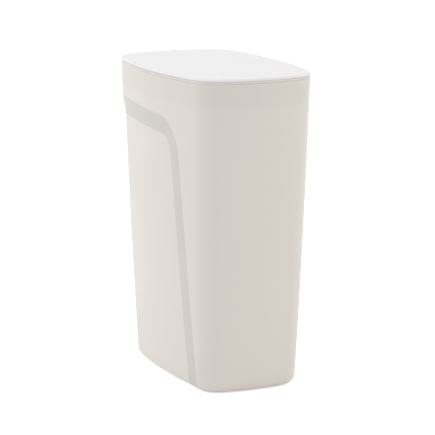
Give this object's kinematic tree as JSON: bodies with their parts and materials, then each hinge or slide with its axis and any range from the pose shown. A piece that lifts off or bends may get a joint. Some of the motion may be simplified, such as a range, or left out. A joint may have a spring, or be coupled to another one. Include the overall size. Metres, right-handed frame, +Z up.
{
  "type": "press-lid waste bin",
  "caption": "Slim tapered household waste bin with bowed sides, recessed side panels and a flat sprung lid that is pressed to open; the frame with the lid lifts off to fit a bag.",
  "frame": {"origin": "centre of the foot pads' plane on the floor, under the middle of the bin", "axes": "+Z up, +X across the narrow width, -Y towards the front where the lid opens"},
  "size_m": [0.1606, 0.2614, 0.35],
  "materials": {
    "barrel_plastic": "fine satin moulded polypropylene, warm off-white",
    "frame_plastic": "satin moulded polypropylene, warm off-white",
    "lid_plastic": "smooth moulded plastic, cool white",
    "liner_plastic": "satin moulded plastic, white",
    "foot_rubber": "soft grey rubber",
    "plate_steel": "zinc-plated sheet",
    "rod_steel": "drawn steel wire",
    "spring_steel": "spring wire",
    "screw_steel": "zinc-plated screws",
    "damper_plastic": "dark moulded plastic",
    "gear_plastic": "natural acetal",
    "latch_plastic": "moulded plastic",
    "plunger_plastic": "grey acetal",
    "magnet_metal": "nickel-plated magnet"
  },
  "bodies": {
    "bin": {"barrel": "barrel_plastic", "foot_front_left": "foot_rubber", "foot_front_right": "foot_rubber", "foot_back_left": "foot_rubber", "foot_back_right": "foot_rubber"},
    "head": {"top_frame": "frame_plastic", "hinge_rod": "rod_steel", "torsion_spring_left": "spring_steel", "torsion_spring_right": "spring_steel", "damper_body": "damper_plastic", "damper_screws": "screw_steel", "latch_housing": "latch_plastic", "latch_spring": "spring_steel", "latch_cam_pin": "rod_steel", "latch_screws": "screw_steel"},
    "lid": {"lid_cover": "lid_plastic", "lid_liner": "liner_plastic", "lid_screws": "screw_steel", "strike_plate": "plate_steel", "strike_screws": "screw_steel"},
    "plunger": {"latch_plunger": "plunger_plastic", "latch_magnet": "magnet_metal"},
    "pinion": {"damper_pinion": "gear_plastic"}
  },
  "joints": [
    {"name": "head_lift", "type": "slide", "parent": "bin", "child": "head", "axis": [0, 0, 1], "range_m": [0, 0.08]},
    {"name": "lid_hinge", "type": "hinge", "parent": "head", "child": "lid", "pos_m": [0, 0.122, 0.344], "axis": [-1, 0, 0], "range_deg": [-0.25, 88]},
    {"name": "latch_press", "type": "slide", "parent": "head", "child": "plunger", "axis": [0, 0, 1], "range_m": [-0.002, 0], "stiffness_N_per_m": 800, "deforming": ["latch_spring"]},
    {"name": "damper_spin", "type": "hinge", "parent": "head", "child": "pinion", "pos_m": [0, 0.11404, 0.33604], "axis": [-1, 0, 0], "range_deg": [-177, 1]}
  ],
  "couplings": [
    {"joint": "damper_spin", "follows": "lid_hinge", "ratio": -2}
  ]
}
